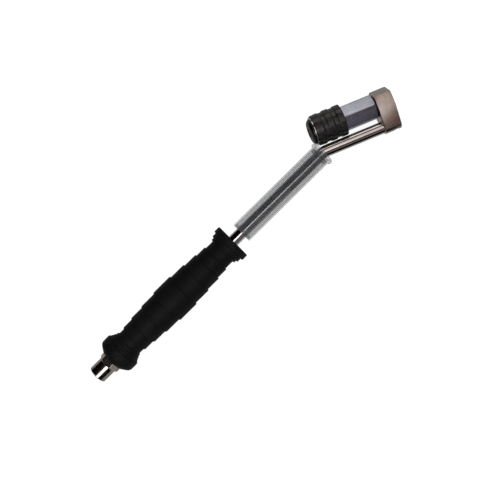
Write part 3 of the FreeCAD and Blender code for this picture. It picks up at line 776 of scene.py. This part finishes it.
@dataclass
class Grip:
    """Stepped rubber hand grip over its liner."""

    axis: Axis
    bore_r: float = 7.5
    max_r: float = 15.85
    ring_drop: float = 1.05
    ring_widths: tuple[float, ...] = (19.1, 15.0, 12.8, 9.95)
    low_neck: float = 6.3
    top_neck: float = 8.2
    bead_r: float = 16.5
    bead_width: float = 12.1
    bead_mouth_r: float = 11.0
    bead_slope: float = 4.0
    low_steps: tuple[tuple[float, float], ...] = ((2.1, 14.9), (2.1, 13.9), (2.5, 12.8))
    top_steps: tuple[tuple[float, float], ...] = ((2.5, 13.2), (3.9, 14.75), (5.8, 16.55))
    edge_r: float = 0.55
    root_r: float = 0.3
    shoulder_r: float = 3.5
    bore_margin: float = 1.0
    ridge_height: float = 0.12
    ridge_half_width: float = 0.3
    ridge_shares: tuple[float, ...] = (-1.0, -0.4, 0.4, 1.0)
    ring_points: int = 128

    def corners(self) -> list[tuple[float, float, float]]:
        """Give the grip's outline as (x, radius, corner radius)."""
        start, end = self.axis.span("grip_sleeve")
        neck_r = self.max_r - self.ring_drop * len(self.ring_widths)
        bead_end = start + self.bead_width
        result = [
            (start, self.bore_r, 0.0),
            (start, self.bead_mouth_r, self.edge_r),
            (start + self.bead_slope, self.bead_r, self.shoulder_r),
            (bead_end, self.bead_r, self.edge_r),
        ]
        x = bead_end
        for width, radius in self.low_steps:
            result += [(x, radius, self.root_r), (x + width, radius, self.edge_r)]
            x += width
        result += [(x, neck_r, self.root_r), (x + self.low_neck, neck_r, self.root_r)]
        x += self.low_neck
        sides = self.ring_widths[1:]
        widths = tuple(reversed(sides)) + self.ring_widths
        for index, width in enumerate(widths):
            radius = self.max_r - self.ring_drop * abs(index - len(sides))
            rising = index <= len(sides)
            falling = index >= len(sides)
            result.append((x, radius, self.edge_r if rising else self.root_r))
            result.append((x + width, radius, self.edge_r if falling else self.root_r))
            x += width
        result += [(x, neck_r, self.root_r), (x + self.top_neck, neck_r, self.root_r)]
        x += self.top_neck
        for width, radius in self.top_steps:
            last = radius == self.top_steps[-1][1]
            result += [(x, radius, self.edge_r), (x + width, radius, self.edge_r if last else self.root_r)]
            x += width
        result.append((end, self.bore_r, 0.0))
        return result

    def parting_rule(self, x: float, r: float, angle: float) -> float:
        """Raise the fine ridge that the two mould halves leave along the rubber's sides."""
        if r < self.bore_r + self.bore_margin:
            return r
        away = abs((angle + math.pi / 2.0) % math.pi - math.pi / 2.0) * r
        return r + self.ridge_height * max(0.0, 1.0 - away / self.ridge_half_width)

    def build(self) -> None:
        """Make the grip and put it in place."""
        fine = self.ridge_half_width / self.max_r
        angles = [math.tau * step / self.ring_points for step in range(self.ring_points)]
        angles += [(side + share * fine) % math.tau
                   for side in (0.0, math.pi) for share in self.ridge_shares]
        piece = turned_piece("grip_rubber", self.axis, rounded_profile(self.corners()), self.parting_rule,
                             sorted(angles))
        fit_piece(piece, "wand", "grip_sleeve", GRIP_RUBBER)
        dress_nodes(LINER_NYLON, "grip_liner")


@dataclass
class Guard:
    """Clear sleeve that slides on the stem on two thin bushes, with an outward lip at its front."""

    axis: Axis
    outer_r: float = 9.2
    wall: float = 1.2
    lip_r: float = 10.8
    lip_width: float = 2.7
    bush_bore_r: float = 5.05
    bush_gap: float = 0.03
    root_r: float = 0.6
    edge_r: float = 0.35

    def build(self) -> None:
        """Mould the sleeve and put it over the stem."""
        rear, front = self.axis.span("guard_sleeve")
        bore_r = self.outer_r - self.wall
        profile = rounded_profile([
            (rear, bore_r, self.edge_r),
            (rear, self.outer_r, self.edge_r),
            (front - self.lip_width, self.outer_r, self.root_r),
            (front - self.lip_width, self.lip_r, self.edge_r),
            (front, self.lip_r, self.edge_r),
            (front, bore_r, self.edge_r),
        ])
        piece = turned_piece("clear_sleeve", self.axis, profile, segments=160)
        fit_piece(piece, "guard", "guard_sleeve", CLEAR_PLASTIC)
        for node in ("guard_front_bush", "guard_rear_bush"):
            self.build_bush(node, bore_r)

    def build_bush(self, node: str, bore_r: float) -> None:
        """Mould one bush, a hair smaller than the sleeve's bore so that the two clear faces stay apart.

        Args:
            node: the CAD node it stands for.
            bore_r: the sleeve's bore radius.
        """
        start, end = self.axis.span(node)
        outer_r = bore_r - self.bush_gap
        edge_r = self.edge_r / 2.0
        profile = rounded_profile([(start, self.bush_bore_r, edge_r), (start, outer_r, edge_r),
                                   (end, outer_r, edge_r), (end, self.bush_bore_r, edge_r)])
        piece = turned_piece(node.replace("guard", "clear"), self.axis, profile, segments=96)
        fit_piece(piece, "guard", node, CLEAR_PLASTIC)


@dataclass
class Head:
    """Bent air tube and the block that turns the air back."""

    block_edge: float = 0.8
    plug_edge: float = 0.25

    def build(self) -> None:
        """Dress the tube, block and plug."""
        dress_nodes(CHROME_TUBE, "stem_tube")
        block = softened_piece("block_body", "manifold_block", self.block_edge)
        fit_piece(block, "wand", "manifold_block", NICKEL_BLOCK)
        plug = softened_piece("block_plug", "passage_plug", self.plug_edge)
        fit_piece(plug, "wand", "passage_plug", NICKEL_ROUND)


@dataclass
class Barrel:
    """Hexagon-bar chuck body with its nose, washer and shut-off poppet."""

    axis: Axis
    barrel_edge: float = 0.5
    nose_edge: float = 0.25
    coil_r: float = 3.3
    wire_r: float = 0.4
    working_turns: int = 6

    def build(self) -> None:
        """Dress the barrel and the pieces inside it."""
        barrel = softened_piece("barrel_body", "chuck_barrel", self.barrel_edge)
        fit_piece(barrel, "wand", "chuck_barrel", DRAWN_HEX)
        nose = softened_piece("nose_dome", "nose_ring", self.nose_edge)
        fit_piece(nose, "wand", "nose_ring", BLACK_STEEL)
        dress_nodes(SEAL_RUBBER, "barrel_seal", "valve_washer", "poppet_seal")
        dress_nodes(TURNED_BRASS, "washer_seat", "depressor_pin", "spring_seat")
        start, end = self.axis.span("poppet_spring")
        coil = coil_piece("poppet_coil", self.axis, start, end, self.coil_r, self.wire_r,
                          self.working_turns)
        fit_piece(coil, "wand", "poppet_spring", SPRING_WIRE)
        squash_coil(coil)


@dataclass
class Collar:
    """Ribbed sliding collar, its steel locking sleeve, its spring and the locking balls."""

    axis: Axis
    sleeve_edge: float = 0.2
    coil_r: float = 9.1
    wire_r: float = 0.5
    working_turns: int = 3

    def build(self) -> None:
        """Dress the collar and wind its spring."""
        dress_nodes(COLLAR_NYLON, "collar_grip")
        sleeve = softened_piece("locking_sleeve", "collar_sleeve", self.sleeve_edge)
        fit_piece(sleeve, "collar", "collar_sleeve", GROUND_STEEL)
        dress_nodes(GROUND_STEEL, "locking_ball_1", "locking_ball_2", "locking_ball_3")
        start, end = self.axis.span("collar_spring")
        coil = coil_piece("collar_coil", self.axis, start, end, self.coil_r, self.wire_r,
                          self.working_turns)
        fit_piece(coil, "wand", "collar_spring", SPRING_WIRE)
        squash_coil(coil)


def squash_coil(coil: bpy.types.Object) -> None:
    """Give a coil a mesh of its own; nothing here shortens it as its joint moves.

    Args:
        coil: the spring.
    """
    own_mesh(coil)


# ------------------------------------------------------------------ studio

class Seen(Enum):
    """Which rays see a piece of the studio."""

    BY_CAMERA_AND_LIGHT = "the camera and matt surfaces"
    BY_GLOSS = "glossy reflections only"


@dataclass(frozen=True)
class Card:
    """A card that only the bright metal reflects: a soft box's face, a coloured wall or a black flag."""

    name: str
    aim: tuple[float, float, float]
    turn_deg: float
    lean_deg: float
    distance: float
    size: tuple[float, float]
    colour: str
    strength: float
    fade: float = 1.0

    def place(self) -> Matrix:
        """Give the card's place: leaning from overhead, its long side along the turned x axis."""
        turn = Matrix.Rotation(math.radians(self.turn_deg), 4, "Z")
        lean = Matrix.Rotation(-math.radians(self.lean_deg), 4, "X")
        return Matrix.Translation(self.aim) @ turn @ lean @ Matrix.Translation((0.0, 0.0, self.distance))


def show_to(piece: bpy.types.Object, seen: Seen) -> None:
    """Set which rays see a studio piece.

    Args:
        piece: the studio piece.
        seen: the rays that see it.
    """
    piece.visible_camera = seen is not Seen.BY_GLOSS
    piece.visible_diffuse = seen is not Seen.BY_GLOSS
    piece.visible_transmission = seen is not Seen.BY_GLOSS
    piece.visible_shadow = False
    piece.visible_glossy = seen is not Seen.BY_CAMERA_AND_LIGHT


@dataclass
class Studio:
    """Pale floor, soft light and the camera that looks straight down on the wand."""

    aim: Vector
    camera_height: float = 0.576
    lens_mm: float = 50.0
    sensor_mm: float = 36.0
    image_turn_deg: float = 44.58
    floor_size: float = 4.0
    floor_gap: float = 0.0005
    table_glow: float = 0.88
    paper_roughness: float = 0.9
    paper_specular: float = 0.1
    lamp_size: tuple[float, float] = (1.4, 1.0)
    lamp_watts: float = 4.0
    lamp_place: tuple[float, float, float] = (0.3, 0.5, 1.3)
    lamp_lean_deg: float = -21.0
    cards: tuple[Card, ...] = (
        # Soft box overhead: the bright line along the tubes, which fades towards the head.
        Card("overhead_box", (0.03, 0.0, 0.0), 0.0, -14.0, 0.60, (0.78, 0.22), "#ffffff", 5.0, 0.12),
        # Warm wall over the head: the block's flat face.
        Card("warm_wall", (0.505, -0.03, 0.0), HEAD_DEG, 0.0, 0.62, (0.40, 0.46), "#dccfc8", 1.15, 0.95),
        # Warm strips beside it: the stripes along the head tube.
        Card("pink_strip", (0.42, -0.01, 0.0), HEAD_DEG, 44.0, 0.50, (0.34, 0.10), "#e9d3c9", 0.9),
        Card("brown_strip", (0.42, -0.01, 0.0), HEAD_DEG, -30.0, 0.50, (0.34, 0.12), "#8c5f45", 0.7),
        Card("grey_strip", (0.42, -0.01, 0.0), HEAD_DEG, -52.0, 0.50, (0.34, 0.08), "#b9a7a0", 0.55),
        # Box beyond the chuck: the upper flat of its hexagon.
        Card("chuck_box", (0.40, 0.0, 0.0), HEAD_DEG, 62.0, 0.50, (0.44, 0.22), "#f2e9dc", 1.5),
        # Dim grey wall on the other side: the lower flat.
        Card("grey_wall", (0.40, 0.0, 0.02), HEAD_DEG, -66.0, 0.50, (0.20, 0.20), "#86848a", 0.55),
        # Dim warm ceiling and strip over the hand end: the inlet fitting's middle tones.
        Card("warm_ceiling", (-0.03, 0.0, 0.0), 0.0, 0.0, 0.68, (0.13, 0.80), "#d8c8bc", 0.14),
        Card("warm_strip", (-0.03, 0.0, 0.0), 0.0, 34.0, 0.60, (0.13, 0.07), "#e0d2c6", 0.32),
        # Black flags: the dark edges of the stem and of the head tube.
        Card("stem_flag", (0.105, 0.0, 0.025), 0.0, 90.0, 0.080, (0.32, 0.083), "#000000", 0.0),
        Card("head_flag", (0.293, -0.0113, 0.007), HEAD_DEG, -90.0, 0.055, (0.10, 0.047), "#000000", 0.0),
    )

    def new_plane(self, name: str, place: Matrix, size: tuple[float, float]) -> bpy.types.Object:
        """Make one flat stage piece.

        Args:
            name: its name.
            place: its centre and turn.
            size: its length and width, in metres.

        Returns:
            The new object, marked as stage.
        """
        mesh = bpy.data.meshes.new(name)
        half_x, half_y = size[0] / 2.0, size[1] / 2.0
        corners = [(-half_x, -half_y), (half_x, -half_y), (half_x, half_y), (-half_x, half_y)]
        mesh.from_pydata([place @ Vector((x, y, 0.0)) for x, y in corners], [], [(0, 1, 2, 3)])
        piece = bpy.data.objects.new(name, mesh)
        bpy.context.scene.collection.objects.link(piece)
        return piece

    def floor(self) -> None:
        """Lay pale paper on a light table, and a greyer sheet that only the metal reflects."""
        low = CAD_BOX[0].z
        size = (2.0 * self.floor_size, 2.0 * self.floor_size)
        paper = self.new_plane("paper", Matrix.Translation((0.0, 0.0, low)), size)
        material = bpy.data.materials.new("matt_white_paper")
        material.use_nodes = True
        shader = material.node_tree.nodes["Principled BSDF"]
        shader.inputs["Base Color"].default_value = linear("#808080")
        shader.inputs["Roughness"].default_value = self.paper_roughness
        shader.inputs["Specular IOR Level"].default_value = self.paper_specular
        shader.inputs["Emission Color"].default_value = linear("#ffffff")
        shader.inputs["Emission Strength"].default_value = self.table_glow
        paper.data.materials.append(material)
        show_to(paper, Seen.BY_CAMERA_AND_LIGHT)
        low += self.floor_gap
        sheet = self.new_plane("grey_sheet", Matrix.Translation((0.0, 0.0, low)), size)
        sheet.data.materials.append(self.glow("grey_sheet", "#9b9a99", 1.0))
        show_to(sheet, Seen.BY_GLOSS)

    def glow(self, name: str, colour: str, strength: float, fade: float = 1.0) -> bpy.types.Material:
        """Make a glowing material that fades along the card's length.

        Args:
            name: the material's name.
            colour: its sRGB hex colour.
            strength: its glow at the near end.
            fade: the far end's glow, as a share of the near end's.

        Returns:
            The material.
        """
        material = bpy.data.materials.new(name)
        material.use_nodes = True
        tree = material.node_tree
        tree.nodes.remove(tree.nodes["Principled BSDF"])
        place = add_node(tree, "ShaderNodeTexCoord")
        along = add_node(tree, "ShaderNodeSeparateXYZ", inputs={"Vector": place.outputs["Generated"]})
        level = add_node(tree, "ShaderNodeMapRange", inputs={
            "Value": along.outputs["X"], "To Min": strength, "To Max": strength * fade})
        glow = add_node(tree, "ShaderNodeEmission", inputs={
            "Color": linear(colour), "Strength": level.outputs["Result"]})
        tree.links.new(glow.outputs["Emission"], tree.nodes["Material Output"].inputs["Surface"])
        return material

    def hang_cards(self) -> None:
        """Hang the cards that the metal reflects."""
        for card in self.cards:
            piece = self.new_plane(card.name, card.place(), card.size)
            piece.data.materials.append(self.glow(card.name, card.colour, card.strength, card.fade))
            show_to(piece, Seen.BY_GLOSS)

    def key_light(self) -> None:
        """Hang one large soft light that shades the matt rubber and the paper."""
        light = bpy.data.lights.new("key_light", "AREA")
        light.shape = "RECTANGLE"
        light.size, light.size_y = self.lamp_size
        light.energy = self.lamp_watts
        lamp = bpy.data.objects.new("key_light", light)
        lamp.matrix_world = Matrix.Translation(self.aim + Vector(self.lamp_place)) @ Matrix.Rotation(
            math.radians(self.lamp_lean_deg), 4, "X")
        lamp.visible_camera = False
        lamp.visible_glossy = False
        bpy.context.scene.collection.objects.link(lamp)

    def world(self) -> None:
        """Fill the room with even white light that the metal doesn't reflect."""
        world = bpy.data.worlds.new("white_room")
        bpy.context.scene.world = world
        world.use_nodes = True
        back = world.node_tree.nodes["Background"]
        back.inputs["Color"].default_value = linear("#ffffff")
        back.inputs["Strength"].default_value = 1.0
        world.cycles_visibility.glossy = False

    def camera(self) -> None:
        """Hang the camera over the wand, turned so that the handle rises to the upper right."""
        data = bpy.data.cameras.new("camera")
        data.lens = self.lens_mm
        data.sensor_width = self.sensor_mm
        eye = bpy.data.objects.new("camera", data)
        eye.location = self.aim + Vector((0.0, 0.0, self.camera_height))
        eye.rotation_euler = (0.0, 0.0, -math.radians(self.image_turn_deg))
        bpy.context.scene.collection.objects.link(eye)
        bpy.context.scene.camera = eye

    def build(self) -> None:
        """Set up the whole studio."""
        self.floor()
        self.world()
        self.hang_cards()
        self.key_light()
        self.camera()
        bpy.context.scene.view_settings.view_transform = "Standard"
        LOG.info("studio ready")


def main() -> None:
    """Build the wand's visible pieces, its finishes and the studio."""
    logging.basicConfig(level=logging.INFO, format="%(name)s: %(message)s")
    handle = handle_axis()
    chuck = chuck_axis()
    Studio(Vector(VIEW_CENTRE)).build()
    Inlet(handle).build()
    Grip(handle).build()
    Guard(handle).build()
    Head().build()
    Barrel(chuck).build()
    Collar(chuck).build()


if __name__ == "__main__":
    main()
